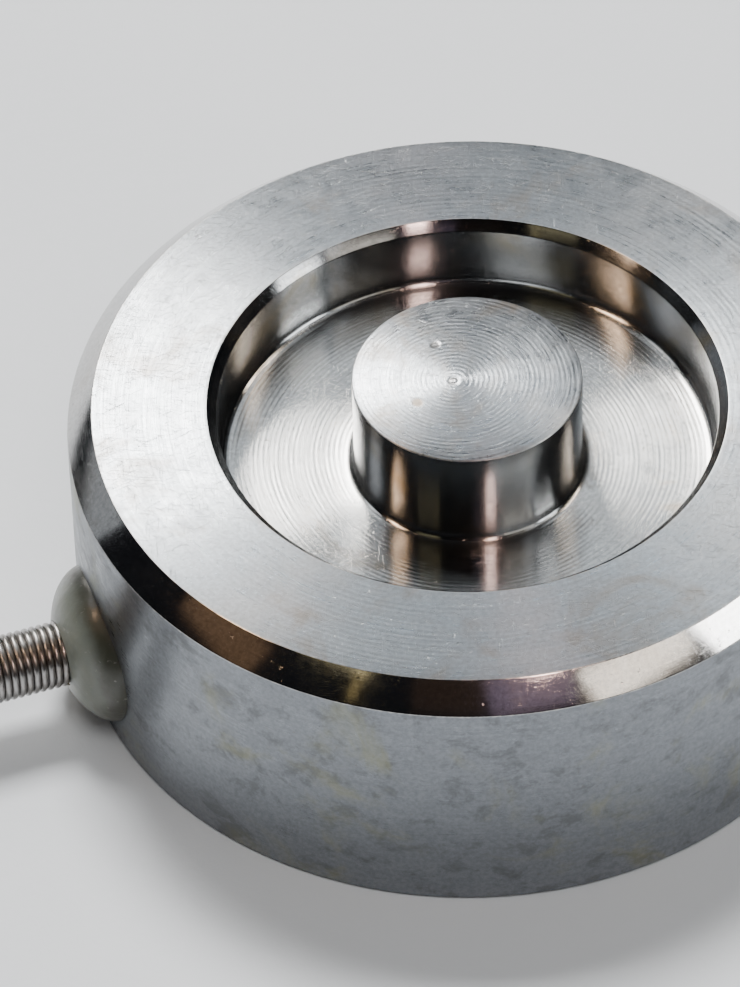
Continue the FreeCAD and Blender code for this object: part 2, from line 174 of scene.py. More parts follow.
# %% The tail, off the top turn and down beside the coil
SLEEVE_R = 1.35
TAIL_GAP = 0.1
OUT_STEPS, DOWN_STEPS = 4, 5


def tail_points():
    """Off the top outer turn, over the coil's edge and down to the height of the end sleeve."""
    wrap, top = COIL_OUTER + TAIL_GAP + CABLE_R, CABLE_R + CABLE_D * (LAYERS - 1)
    points = []
    for i in range(-1, OUT_STEPS + DOWN_STEPS + 1):
        out, down = eased(i / OUT_STEPS), eased((i - OUT_STEPS) / DOWN_STEPS)
        radius = OUTER_TURN + (wrap - OUTER_TURN) * out
        points.append(at_angle(radius, TAIL_ANGLE - POINT_STEP * i, top + (SLEEVE_R - top) * down))
    on = points[-1] - points[-2]
    points.append(points[-1] + Vector((on.x, on.y, 0)))
    return points


print("jacket ends at", [round(v, 1) for v in tail_points()[-1]])


# %% The cable, a round tube along a spline
def nurbs_tube(name, points, radius):
    """Round tube along one smooth spline, with points in millimetres.

    The bevel is 1 m deep and each point's own radius scales it down. Blender pads a curve's box
    by these radii, so a radius left at 1 would make the box two metres wide.
    """
    curve = bpy.data.curves.new(name, "CURVE")
    curve.dimensions = "3D"
    spline = curve.splines.new("NURBS")
    spline.points.add(len(points) - 1)
    for spot, point in zip(spline.points, points):
        spot.co = (*(point * MM), 1)
        spot.radius = radius * MM
    spline.order_u = 3
    spline.use_endpoint_u = True
    spline.resolution_u = 5
    curve.bevel_depth = 1.0
    curve.bevel_resolution = 5
    curve.use_fill_caps = True
    tube = bpy.data.objects.new(name, curve)
    bpy.context.scene.collection.objects.link(tube)
    return tube


cable = nurbs_tube("cable", run_points() + coil_points() + tail_points(), CABLE_R)
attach(cable, "root")
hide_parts("cable_run", "cable_coil", "cable_tail")
print("cable spline points", len(cable.data.splines[0].points))

# %% [markdown]
# ## Helpers for meshes
#
# The real body is turned on a lathe, and a lathe works from an outline. The helpers do the same:
# they round the outline's corners, divide its long sides, and spin it about an axis. A corner
# could also be rounded afterwards with a Bevel modifier, but a radius in the outline is the same
# all the way round, and each edge can have its own. Every piece keeps its place in its mesh, with
# its object at the origin, so that the finishes read true places.


# %% Selecting and placing
def activate(obj):
    """Make obj the only selected object."""
    bpy.ops.object.select_all(action="DESELECT")
    obj.select_set(True)
    bpy.context.view_layer.objects.active = obj


def place_in_mesh(obj):
    """Move the object's place into its mesh."""
    activate(obj)
    bpy.ops.object.transform_apply(location=True, rotation=True, scale=True)


def mesh_object(name, points, edges=(), faces=()):
    """New object at the origin from points in millimetres."""
    mesh = bpy.data.meshes.new(name)
    mesh.from_pydata([tuple(Vector(p) * MM) for p in points], list(edges), list(faces))
    obj = bpy.data.objects.new(name, mesh)
    bpy.context.scene.collection.objects.link(obj)
    return obj


# %% Outlines with round corners
def rounded(before, corner, after, radius, steps):
    """Points of a true fillet at a corner of an outline, in (r, z) millimetres."""
    corner = Vector(corner)
    back_way, on_way = (Vector(before) - corner).normalized(), (Vector(after) - corner).normalized()
    half = back_way.angle(on_way) / 2
    centre = corner + (back_way + on_way).normalized() * (radius / math.sin(half))
    start = corner + back_way * (radius / math.tan(half)) - centre
    stop = corner + on_way * (radius / math.tan(half)) - centre
    sweep = math.pi - 2 * half
    arc = []
    for i in range(steps + 1):
        share = i / steps
        a, b = math.sin((1 - share) * sweep), math.sin(share * sweep)
        arc.append(tuple(centre + (start * a + stop * b) / math.sin(sweep)))
    return arc


def outline(corners, longest=1.2, steps=5):
    """Outline from (r, z) or (r, z, radius) corners, its long sides divided."""
    points = []
    for i, corner in enumerate(corners):
        if len(corner) == 3:
            points += rounded(corners[i - 1][:2], corner[:2], corners[(i + 1) % len(corners)][:2],
                              corner[2], steps)
        else:
            points.append(corner)
    full = []
    for a, b in zip(points, points[1:]):
        parts = max(1, math.ceil(math.dist(a, b) / longest))
        full += [(a[0] + (b[0] - a[0]) * k / parts, a[1] + (b[1] - a[1]) * k / parts)
                 for k in range(parts)]
    return full + [points[-1]]


print("points of one rounded corner", len(rounded((0, 0), (1, 0), (1, 1), .2, 5)))


# %% Spinning an outline, as on a lathe
MERGE = 1e-6            # metres between points that the spin leaves double


def turned(name, corners, steps=192, longest=1.2):
    """Outline spun about the body's axis."""
    line = outline(corners, longest)
    obj = mesh_object(name, [(r, 0, z) for r, z in line],
                      [(i, i + 1) for i in range(len(line) - 1)])
    activate(obj)
    bpy.ops.object.mode_set(mode="EDIT")
    bpy.ops.mesh.select_all(action="SELECT")
    bpy.ops.mesh.spin(steps=steps, angle=math.tau, center=(0, 0, 0), axis=(0, 0, 1))
    bpy.ops.mesh.select_all(action="SELECT")
    bpy.ops.mesh.remove_doubles(threshold=MERGE)
    bpy.ops.mesh.normals_make_consistent(inside=False)
    bpy.ops.object.mode_set(mode="OBJECT")
    return obj


# %% Drills, and how they cut
def cylinder(name, radius, length, middle, along, vertices=64):
    """Cylinder in millimetres, with its place in its mesh."""
    bpy.ops.object.select_all(action="DESELECT")
    bpy.ops.mesh.primitive_cylinder_add(vertices=vertices, radius=radius * MM, depth=length * MM,
                                        location=Vector(middle) * MM)
    obj = bpy.context.active_object
    obj.name = name
    obj.rotation_euler = Vector(along).to_track_quat("Z", "Y").to_euler()
    place_in_mesh(obj)
    return obj


def cut(obj, cutters):
    """Cut each cutter out of obj and remove it."""
    for cutter in cutters:
        activate(obj)
        modifier = obj.modifiers.new("cut", "BOOLEAN")
        modifier.object = cutter
        modifier.operation = "DIFFERENCE"
        modifier.solver = "EXACT"
        bpy.ops.object.modifier_apply(modifier=modifier.name)
        bpy.data.objects.remove(cutter)


# %% Closing, smoothing and naming a piece
def close_ends(sides):
    """Fill the open ends of the active mesh and turn its faces outwards."""
    bpy.ops.object.mode_set(mode="EDIT")
    bpy.ops.mesh.select_all(action="SELECT")
    bpy.ops.mesh.fill_holes(sides=sides)
    bpy.ops.mesh.select_all(action="SELECT")
    bpy.ops.mesh.normals_make_consistent(inside=False)
    bpy.ops.object.mode_set(mode="OBJECT")


def smooth(obj, degrees=32):
    """Smooth shading, with sharp edges above an angle."""
    activate(obj)
    bpy.ops.object.shade_smooth_by_angle(angle=math.radians(degrees))


def finish_piece(obj, slot, *replaced):
    """Let a piece ride on the body and hide the nodes it stands for. The slot is not used."""
    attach(obj, "root")
    if replaced:
        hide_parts(*replaced)
    return obj


def size_of(obj):
    """Number of faces of a mesh, for the printed notes."""
    return len(obj.data.polygons)


# %% [markdown]
# ## Turned body
#
# Ring, thin floor and button are one piece of steel, bored out from below for the gauges. The
# floor could be set in as a disc, but a seam would then show where the real one has a round
# fillet. One outline makes the whole body instead, with small true radii at its edges, because
# each of these radii catches the light as a thin line.

# %% Body's sizes
BODY_R, BODY_H, CHAMFER, FOOT_BREAK = 19.0, 14.0, 1.2, .15
RECESS_R, FLOOR_Z, RECESS_BREAK, FLOOR_FILLET = 11.9, 10.2, .45, .6
BUTTON_R, BUTTON_TOP, BUTTON_FILLET = 5.45, 15.5, .5
CHAMBER_R, POCKET_R, COVER_R = 11.4, 12.5, 13.0
ROOF_Z, LEDGE_Z, COVER_Z = 8.4, 6.4, 1.0
HUB_R, HUB_Z = 4.5, 7.5
EDGE_R = .10
print("body", 2 * BODY_R, "wide,", BUTTON_TOP, "high, floor", round(FLOOR_Z - ROOF_Z, 2), "thick")

# %% Turn the body
body = turned("body", [
    (0, HUB_Z), (HUB_R, HUB_Z, .08), (HUB_R, ROOF_Z, .15), (CHAMBER_R, ROOF_Z, .2),
    (CHAMBER_R, LEDGE_Z), (POCKET_R, LEDGE_Z), (POCKET_R, COVER_Z), (COVER_R, COVER_Z),
    (COVER_R, 0), (BODY_R - FOOT_BREAK, 0), (BODY_R, FOOT_BREAK),
    (BODY_R, BODY_H - CHAMFER, EDGE_R), (BODY_R - CHAMFER, BODY_H, EDGE_R),
    (RECESS_R + RECESS_BREAK, BODY_H, EDGE_R), (RECESS_R, BODY_H - RECESS_BREAK, EDGE_R),
    (RECESS_R, FLOOR_Z, FLOOR_FILLET), (BUTTON_R, FLOOR_Z, BUTTON_FILLET),
    (BUTTON_R, BUTTON_TOP, .07), (0, BUTTON_TOP)],
    steps=224)
print("body faces before drilling", size_of(body))

# %% [markdown]
# ## Holes
#
# The real body is drilled after turning: a bore for the cable with a wider seat for the spring,
# and three tapped holes in the base. Holes could be modelled into the outline's mesh by hand, but
# a cutter with the drill's own shape, point and all, leaves the same hole that a drill leaves.
# The Boolean modifier is applied at once, so the finishes meet a plain mesh.

# %% Drill the cable bore and the base holes
SPRING_START = -18.4
BORE_R, SEAT_R, SEAT_L = 1.25, 1.69, 4.0
HOLES, HOLE_CIRCLE, HOLE_R, HOLE_DEPTH, DRILL_POINT = 3, 16, 1.52, 6.0, .75
MOUTH_R, MOUTH_DEPTH = 1.9, .3


def base_hole_centre(index):
    """Centre of a base hole on the base plane."""
    return at_angle(HOLE_CIRCLE, 360 / HOLES * index, 0, Vector((0, 0, 0)))


cutters = [cylinder("bore", BORE_R, 9.0, (-16.0, 0, EXIT_H), (-1, 0, 0)),
           cylinder("seat", SEAT_R, SEAT_L, (SPRING_START - SEAT_L / 2, 0, EXIT_H), (-1, 0, 0))]
for i in range(HOLES):
    drill = turned("drill", [(0, -1), (MOUTH_R, -1), (MOUTH_R, 0), (HOLE_R, MOUTH_DEPTH),
                             (HOLE_R, HOLE_DEPTH), (0, HOLE_DEPTH + DRILL_POINT)],
                   steps=40, longest=3)
    drill.data.transform(Matrix.Translation(base_hole_centre(i) * MM))
    cutters.append(drill)
cut(body, cutters)
smooth(body)
finish_piece(body, "turned_steel", "sensing_body")
print("body faces", size_of(body))

# %% [markdown]
# ## Threads
#
# Each base hole is tapped for a 3 mm screw. A thread could be painted as rings, but it shows from
# below as real ridges. A Screw modifier sweeps one ridge's section up around the hole, because
# that is the path of the tap.

# %% Cut the threads
THREAD_PITCH, THREAD_TURNS = .5, 11
CREST_R = 1.25


def base_thread(index):
    """Ridge of an M3 thread in one of the base holes."""
    section = [(HOLE_R, .27), (CREST_R, .45), (CREST_R, .51), (HOLE_R, .69)]
    obj = mesh_object("base_thread_%d" % (index + 1), [(r, 0, z) for r, z in section],
                      [(0, 1), (1, 2), (2, 3)])
    activate(obj)
    screw = obj.modifiers.new("screw", "SCREW")
    screw.screw_offset = THREAD_PITCH * MM
    screw.iterations = THREAD_TURNS
    screw.steps = screw.render_steps = 28
    screw.use_normal_calculate = True
    bpy.ops.object.modifier_apply(modifier=screw.name)
    obj.data.transform(Matrix.Translation(base_hole_centre(index) * MM))
    smooth(obj, 40)
    return finish_piece(obj, "turned_steel")


threads = [base_thread(i) for i in range(HOLES)]
print("thread faces", size_of(threads[0]))

# %% [markdown]
# ## Spring
#
# A close-wound spring guards the cable from sharp bends. It could be a ridged tube, but the slant
# of real turns shows in their highlights, so a ring of points, the wire's section, is swept
# around the cable by a Screw modifier along -X. The turns stay a hundredth of a millimetre apart,
# and the wire's ends are cut square.

# %% Wind the spring
WIRE_R, SPRING_MEAN_R, SPRING_PITCH, SPRING_TURNS = .175, 1.415, .36, 20
WIRE_SIDES = 14

bpy.ops.object.select_all(action="DESELECT")
bpy.ops.mesh.primitive_circle_add(vertices=WIRE_SIDES, radius=WIRE_R * MM, fill_type="NOTHING",
                                  location=(0, 0, SPRING_MEAN_R * MM))
spring = bpy.context.active_object
spring.name = "spring"
spring.rotation_euler = (math.pi / 2, 0, 0)
place_in_mesh(spring)
screw = spring.modifiers.new("screw", "SCREW")
screw.axis = "X"
screw.screw_offset = -SPRING_PITCH * MM
screw.iterations = SPRING_TURNS
screw.steps = screw.render_steps = 40
screw.use_normal_calculate = True
bpy.ops.object.modifier_apply(modifier=screw.name)
close_ends(WIRE_SIDES)
spring.data.transform(Matrix.Translation(Vector((SPRING_START - WIRE_R, 0, EXIT_H)) * MM))
smooth(spring, 50)
finish_piece(spring, "spring_steel", "strain_relief_spring")
print("spring faces", size_of(spring), "from", [round(v, 5) for v in spring.bound_box[0]])

# %% [markdown]
# ## Sealant
#
# A drop of resin closes the hole around the spring. It wets the side wall and stands up as a
# dome. A simulation could settle it, but the real drop is a plain squashed ball, so a sphere is
# scaled, the body's round wall is cut out of its back, and a hole is left for the spring.

# %% Shape the sealant
SEALANT_R, SEALANT_CROWN, SEALANT_X = 3.9, 2.4, -18.5
SPRING_HOLE_R = 1.61

bpy.ops.object.select_all(action="DESELECT")
bpy.ops.mesh.primitive_uv_sphere_add(segments=96, ring_count=64, radius=1)
dome = bpy.context.active_object
dome.name = "sealant"
dome.rotation_euler = (0, math.pi / 2, 0)
place_in_mesh(dome)
dome.scale = (SEALANT_CROWN * MM, SEALANT_R * MM, SEALANT_R * MM)
dome.location = (SEALANT_X * MM, 0, EXIT_H * MM)
place_in_mesh(dome)
cut(dome, [cylinder("wall", BODY_R, 30, (0, 0, BODY_H / 2), (0, 0, 1), 448),
           cylinder("spring_hole", SPRING_HOLE_R, 12, (-18, 0, EXIT_H), (-1, 0, 0), 64)])
smooth(dome, 40)
finish_piece(dome, "sealant", "cable_sealant")
print("sealant faces", size_of(dome))

# %% [markdown]
# ## Tie
#
# A nylon tie holds the coil: a flat band around the bundle, with its ratchet head on top and the
# cut end of the strap beside it. The band could follow a curve, but a nylon band keeps a
# rectangle's shape with round corners, so two such outlines are bridged into a closed band, and
# the head is built from blocks with bevelled edges.


# %% Outline of the band
def loop_corners(inner_r, outer_r, low, high, radius, steps=6):
    """Closed outline of a rectangle in (r, z) with round corners."""
    corners = [(inner_r, low), (outer_r, low), (outer_r, high), (inner_r, high)]
    points = []
    for i, corner in enumerate(corners):
        points += rounded(corners[i - 1], corner, corners[(i + 1) % 4], radius, steps)
    return points


print("points in a band's outline", len(loop_corners(0, 2, 0, 2, .5)))


# %% Rounding the edges of a piece
def soften(obj, width, segments, limit=None):
    """Bevel a piece's edges by a width in millimetres, above a limit in degrees."""
    bevel = obj.modifiers.new("edges", "BEVEL")
    bevel.width, bevel.segments = width * MM, segments
    if limit is not None:
        bevel.limit_method, bevel.angle_limit = "ANGLE", math.radians(limit)
    activate(obj)
    bpy.ops.object.modifier_apply(modifier=bevel.name)


# %% The band around the turns
COIL_H = CABLE_D * LAYERS


def tie_band():
    """Closed band between an inner and an outer outline."""
    inside = loop_corners(COIL_INNER, COIL_OUTER, TIE_T, COIL_H + TIE_T, 1.0)
    outside = loop_corners(COIL_INNER - TIE_T, COIL_OUTER + TIE_T, 0, COIL_H + 2 * TIE_T, 1.5)
    count = len(inside)
    points = [(r, side * TIE_W / 2, z) for side in (-1, 1) for ring in (inside, outside)
              for r, z in ring]
    faces = []
    for i in range(count):
        j = (i + 1) % count
        a, b, c, d = (k * count for k in range(4))
        faces += [(a + i, a + j, b + j, b + i), (c + j, c + i, d + i, d + j),
                  (b + i, b + j, d + j, d + i), (a + j, a + i, c + i, c + j)]
    band = mesh_object("coil_tie_band", points, faces=faces)
    soften(band, .1, 2, limit=60)
    return band


tie = tie_band()
print("band faces", size_of(tie))

# %% The tie's head, and the whole tie
HEAD_BLOCKS = (
    # name, size, middle, width of the round edges
    ("head", (3.4, 3.9, 2.0), (11.6, 0, 10.5), .45),
    ("strap_end", (1.6, 2.3, .7), (9.4, 0, 10.5), .2),
    ("slot_lip", (.9, 2.5, .5), (13.2, 0, 11.3), .15),
)


def tie_block(name, size, middle, width):
    """Block of the tie's head, with round edges."""
    bpy.ops.object.select_all(action="DESELECT")
    bpy.ops.mesh.primitive_cube_add(size=1, location=Vector(middle) * MM)
    block = bpy.context.active_object
    block.name = name
    block.scale = Vector(size) * MM
    place_in_mesh(block)
    soften(block, width, 3)
    return block


blocks = [tie_block(*row) for row in HEAD_BLOCKS]
activate(tie)
for block in blocks:
    block.select_set(True)
bpy.ops.object.join()
tie.data.transform(Matrix.Translation(COIL_CENTRE * MM)
                   @ Matrix.Rotation(math.radians(TIE_ANGLE), 4, "Z"))
smooth(tie, 35)
finish_piece(tie, "tie_plastic", "coil_tie")
print("tie faces", size_of(tie))

# %% [markdown]
# ## End sleeve
#
# A shrunk sleeve closes the jacket's end. It hugs the jacket on one side and the four cores on
# the other, so its outline waves a little, where a plain tube would look moulded. It is turned
# like the body, then laid along the cable's last direction.

# %% Shrink the sleeve onto the jacket's end
tail_last, tail_before = tail_points()[-1], tail_points()[-2]
end_way = (tail_last - tail_before).normalized()
end_left = Vector((0, 0, 1)).cross(end_way)


def along_line(obj, start, way):
    """Put a piece made along +Z onto a line that starts at a point in millimetres."""
    obj.data.transform(Matrix.Translation(start * MM)
                       @ way.to_track_quat("Z", "Y").to_matrix().to_4x4())


sleeve = turned("end_sleeve_shrunk", [
    (1.11, -2.95), (1.3, -2.98, .05), (1.33, -2.2, .3), (1.31, -.9, .4), (1.34, .1, .4),
    (1.27, 1.3, .4), (1.2, 2.4, .3), (1.16, 2.98, .05), (.9, 2.95), (.84, 2.2), (.84, .5)],
    steps=48, longest=.3)
along_line(sleeve, tail_last, end_way)
smooth(sleeve, 50)
finish_piece(sleeve, "shrink_sleeve", "end_sleeve")
print("sleeve faces", size_of(sleeve))

# %% [markdown]
# ## Cores and bare tips
#
# Four cores come out of the sleeve, lie side by side on the table and fan out a little. Their
# ends are stripped, twisted and tinned. Each core is a tube along a short spline, as the cable
# is. A tip could be a plain pin, but real strands show as a twist, so a section with shallow
# lobes is swept up and turned by a Screw modifier.

# %% Where a core lies
CORE_D, CORE_SPREAD, SLEEVE_L, LEAD_L = .6, .55, 6.0, 15.0
LEAD_SPREAD, LEAD_FAN = 1.0, 1.3
COLOURS = ("red", "black", "green", "white")


def lead_route(index):
    """Route of one core: out of the sleeve, down to the table, and fanned out."""
    corners = [math.radians(45 + 90 * i) for i in range(len(COLOURS))]
    spots = sorted((CORE_SPREAD * math.cos(a), CORE_SPREAD * math.sin(a)) for a in corners)
    across, lift = spots[index]
    start = tail_last + end_left * across + Vector((0, 0, lift))
    mouth = start + end_way * (SLEEVE_L / 2)
    share = index - (len(COLOURS) - 1) / 2
    knee = mouth + end_way * (LEAD_L / 3) + end_left * (share * LEAD_SPREAD - across)
    end = mouth + end_way * LEAD_L + end_left * (share * LEAD_FAN - across)
    knee.z = end.z = CORE_D / 2
    return [start, mouth, knee, end]


print("first core", [tuple(round(v, 1) for v in point) for point in lead_route(0)])

# %% A twisted and tinned tip
TIP_D, TIP_L, TIP_SIDES, TIP_TWIST = .36, 3.0, 36, math.tau * .8
LOBE_DEPTH = .16        # share of the radius that the strands' grooves take


def tinned_tip(colour, route):
    """Twisted and tinned strands at the end of a core."""
    angles = [math.tau * i / TIP_SIDES for i in range(TIP_SIDES)]
    radii = [TIP_D / 2 * (1 - LOBE_DEPTH * abs(math.cos(3 * a))) for a in angles]
    tip = mesh_object("tinned_tip_" + colour,
                      [(r * math.cos(a), r * math.sin(a), 0) for r, a in zip(radii, angles)],
                      [(i, (i + 1) % TIP_SIDES) for i in range(TIP_SIDES)])
    activate(tip)
    twist = tip.modifiers.new("twist", "SCREW")
    twist.angle, twist.screw_offset = TIP_TWIST, TIP_L * MM
    twist.steps = twist.render_steps = 24
    bpy.ops.object.modifier_apply(modifier=twist.name)
    close_ends(TIP_SIDES)
    along_line(tip, route[-1], (route[-1] - route[-2]).normalized())
    smooth(tip, 60)
    return finish_piece(tip, "tinned_copper")


# %% Lay each core, with its tip
leads, tips = [], []
for index, colour in enumerate(COLOURS):
    route = lead_route(index)
    lead = nurbs_tube("lead_wire_" + colour, route, CORE_D / 2)
    leads.append(finish_piece(lead, "insulation_" + colour, "lead_" + colour))
    tips.append(tinned_tip(colour, route))
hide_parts("lead_tips")
print("cores", [lead.name for lead in leads], "tip faces", size_of(tips[0]))

# %% [markdown]
# ## Cable length
#
# The cable's length is measured on the spline itself, drawn once without its thickness, because a
# sum over the points would cut the corners of the turns.

# %% Measure the cable
bare = cable.data.copy()
bare.bevel_depth = 0
line = bpy.data.objects.new("line", bare)
drawn = bpy.data.meshes.new_from_object(line)
spots = [vertex.co for vertex in drawn.vertices]
cable_length = sum((spots[e.vertices[0]] - spots[e.vertices[1]]).length for e in drawn.edges)
bpy.data.objects.remove(line)
print("cable length", round(cable_length, 4))

# %% [markdown]
# ## Base cover's seam
#
# The base is closed by a thin cover, welded in all around. The cover is the CAD model's own. The
# weld could be a bump in the cover's finish, but it stands up from the face as a low bead, so a
# small outline is spun around the cover's edge.

# %% Lay the weld bead
seam = turned("cover_seam", [(12.85, .22), (12.9, .14, .03), (12.98, .1, .03), (13.06, .14, .03),
                             (13.1, .22)], steps=160, longest=.5)
smooth(seam, 60)
finish_piece(seam, "cover_steel")
print("seam faces", size_of(seam))

# %% [markdown]
# ## Helpers for finishes
#
# A finish is a tree of nodes. It could be drawn in the shader editor, but in code each finish
# takes a few lines once a helper adds the nodes and links them. Every texture reads object
# coordinates in metres, turned into millimetres, so each mark has its real size. Numbers that are
# the same all over a piece sit on the shader's own sockets.


# %% A helper that adds nodes
class Graph:
    """Adds nodes to a tree. An input is given a number, a colour or another node's output."""

    def __init__(self, tree):
        self.tree = tree

    def add(self, kind, inputs=None, out=0, **settings):
        node = self.tree.nodes.new("ShaderNode" + kind)
        for key, value in settings.items():
            setattr(node, key, value)
        self.feed(node, inputs or {})
        return node.outputs[out]

    def feed(self, node, inputs):
        """Link or set a node's inputs."""
        for key, value in inputs.items():
            if isinstance(value, bpy.types.NodeSocket):
                self.tree.links.new(value, node.inputs[key])
            else:
                node.inputs[key].default_value = value

    def math(self, operation, a, b=0.0):
        return self.add("Math", {0: a, 1: b}, operation=operation)

    def plus(self, a, b):
        return self.math("ADD", a, b)

    def times(self, a, b):
        return self.math("MULTIPLY", a, b)

    def vector(self, operation, a, b=(0, 0, 0), out=0):
        return self.add("VectorMath", {0: a, 1: b}, out=out, operation=operation)

    def places(self):
        """Object coordinates in millimetres."""
        return self.add("VectorMath", {0: self.add("TexCoord", out=3), "Scale": 1 / MM},
                        operation="SCALE")

    def parts(self, vector):
        """The x, y and z of a vector."""
        node = self.tree.nodes.new("ShaderNodeSeparateXYZ")
        self.feed(node, {0: vector})
        return node.outputs

    def stretch(self, vector, x, y, z):
        return self.vector("MULTIPLY", vector, (x, y, z))

    def noise(self, vector, scale, detail=3.0, rough=.55, distort=0.0):
        return self.add("TexNoise", {"Vector": vector, "Scale": scale, "Detail": detail,
                                     "Roughness": rough, "Distortion": distort})

    def band(self, value, low, high, start=0.0, stop=1.0):
        """Smooth step of a value between two limits."""
        return self.add("MapRange", {0: value, 1: low, 2: high, 3: start, 4: stop},
                        interpolation_type="SMOOTHSTEP")

    def mix(self, share, a, b):
        return self.add("Mix", {0: share, 6: a, 7: b}, out=2, data_type="RGBA")

    def bump(self, height, distance):
        """Normal from a height. The distance is in millimetres."""
        return self.add("Bump", {"Height": height, "Distance": distance * MM, "Strength": 1.0})


# %% Helpers for materials and shared groups
def opaque(colour):
    """Colour with its alpha."""
    return tuple(colour) + (1,)


def material(name, **fixed):
    """New material with its helper and its shader, whose fixed values sit on its own sockets."""
    made = bpy.data.materials.new(name)
    made.use_nodes = True
    tree = made.node_tree
    shader = tree.nodes["Principled BSDF"]
    for key, value in fixed.items():
        shader.inputs[key.replace("_", " ")].default_value = value
    return made, Graph(tree), shader


def join(graph, shader, **links):
    """Link outputs to the shader's inputs by name."""
    for key, value in links.items():
        graph.tree.links.new(value, shader.inputs[key.replace("_", " ")])


def new_group(name, inputs, outputs):
    """Empty node group of numbers, with its helper and the sockets inside it."""
    group = bpy.data.node_groups.new(name, "ShaderNodeTree")
    for way, labels in (("INPUT", inputs), ("OUTPUT", outputs)):
        for label in labels:
            group.interface.new_socket(label, in_out=way, socket_type="NodeSocketFloat")
    given = group.nodes.new("NodeGroupInput").outputs
    return group, Graph(group), given, group.nodes.new("NodeGroupOutput")


def use(graph, group, **inputs):
    """Place a group in a material with its own values, and return its outputs."""
    node = graph.tree.nodes.new("ShaderNodeGroup")
    node.node_tree = group
    graph.feed(node, {key.replace("_", " "): value for key, value in inputs.items()})
    return node.outputs


# %% [markdown]
# ## Marks of the lathe
#
# A lathe tool leaves fine rings, and the bar's own grain is drawn out around the axis. An image
# could hold such marks, but it would stretch on the floor and the wall. The group works them out
# from each place's distance from the axis and its height. The rings waver a little and are broken
# here and there, because perfect rings look like a record's grooves. Every steel places the group
# with its own pitch and its own centre of the rings.

# %% Group: lathe marks
lathe_marks, g, given, out = new_group(
    "lathe_marks", ("Ring Pitch", "Centre X", "Centre Y"),
    ("Radius", "Fine", "Wide", "Grains", "Mottle", "Rings"))
place = g.places()
height = g.parts(place)[2]
flat = g.stretch(place, 1, 1, 0)
radius = g.vector("LENGTH", flat, out=1)
outward = g.vector("NORMALIZE", flat)
climb = g.math("SUBTRACT", g.times(radius, .83), g.times(height, 1.1))
streak_at = g.vector("ADD", outward, g.add("CombineXYZ", {0: 0.0, 1: 0.0, 2: climb}))
centre = g.add("CombineXYZ", {0: given["Centre X"], 1: given["Centre Y"], 2: 0.0})
across = g.plus(g.vector("DISTANCE", flat, centre, out=1), height)
waver = g.times(g.noise(place, .12, 2.0), g.times(given["Ring Pitch"], 2.0))
waves = g.math("DIVIDE", math.tau, given["Ring Pitch"])
rings = g.math("SINE", g.times(g.plus(across, waver), waves))
broken = g.band(g.noise(g.stretch(streak_at, 2.2, 2.2, 1.6), 1.0, 4.0, .65), .38, .62, .1)
g.feed(out, {"Radius": radius,
             "Fine": g.noise(g.stretch(streak_at, 1.2, 1.2, 26), 1.0, 3.0, .6),
             "Wide": g.noise(g.stretch(streak_at, .8, .8, 4.5), 1.0, 3.0, .6),
             "Grains": g.noise(place, 4.5, 4.0, .7),
             "Mottle": g.noise(place, .9, 6.0, .68),
             "Rings": g.times(rings, broken)})
print("lathe marks", len(lathe_marks.nodes), "nodes")

# %% [markdown]
# ## Wear of the metal
#
# Handling leaves hair scratches in all directions, dark specks, brown stains and dull patches.
# They could be painted by hand onto an image, but noise that is stretched into lines, or cut off
# at a limit, gives all four at any size. The group puts out masks alone, and each steel says how
# much of the stains and the patches it shows. On the side wall the dark patches are painted shade.

# %% Group: metal wear
metal_wear, g, given, out = new_group("metal_wear", ("Stain Share", "Patch Share"),
                                      ("Scratches", "Specks", "Stains", "Patches"))
place = g.places()
scratches = None
for way, stretch_by, scale in ((.3, (34, .9, 9), .8), (1.35, (28, .7, 8), .75),
                               (2.4, (42, 1.3, 11), .7), (2.0, (30, .8, 9), .9)):
    turned_place = g.add("VectorRotate", {0: place, "Angle": way}, rotation_type="Z_AXIS")
    hair = g.band(g.noise(g.stretch(turned_place, *stretch_by), scale, 1.0, .4, .15), .70, .735)
    scratches = hair if scratches is None else g.math("MAXIMUM", scratches, hair)
stains = g.band(g.noise(place, .21, 5.0, .62, .6), .52, .72)
patches = g.band(g.noise(g.stretch(place, 1, 1, 1.3), .55, 6.0, .7, .3), .5, .66)
g.feed(out, {"Scratches": scratches,
             "Specks": g.band(g.noise(place, 2.6, 4.0, .65), .66, .72),
             "Stains": g.times(stains, given["Stain Share"]),
             "Patches": g.times(patches, given["Patch Share"])})
print("metal wear", len(metal_wear.nodes), "nodes")

# %% [markdown]
# ## Worn edges
#
# Edges are rubbed bright first. A pointiness mask could find them, but its width follows how
# dense the mesh is. A turned edge is a circle, so the distance from a radius and a height is
# enough, and noise frays the line.

# %% Group: edge wear
edge_wear, g, given, out = new_group("edge_wear", ("Edge Radius", "Edge Height", "Width"),
                                     ("Rub",))
place = g.places()
off_r = g.math("SUBTRACT", g.vector("LENGTH", g.stretch(place, 1, 1, 0), out=1),
               given["Edge Radius"])
off_z = g.math("SUBTRACT", g.parts(place)[2], given["Edge Height"])
off = g.math("SQRT", g.plus(g.math("POWER", off_r, 2.0), g.math("POWER", off_z, 2.0)))
frayed = g.plus(off, g.times(g.noise(place, 3.2, 4.0, .7), g.times(given["Width"], 1.6)))
g.feed(out, {"Rub": g.band(frayed, g.times(given["Width"], 1.2), g.times(given["Width"], .75))})
print("edge wear", len(edge_wear.nodes), "nodes")

# %% [markdown]
# ## Turned steel
#
# Every face of the body is the same steel with another cut: coarse rings on top, a bright floor,
# a matt side. One material could hold them all behind masks, but then each change touches every
# face. A function makes one material per cut instead, and its values tell how that face was
# machined. Steel off a lathe also spreads its highlights across the rings, which is what
# anisotropy does, with a tangent that runs from the axis outwards.


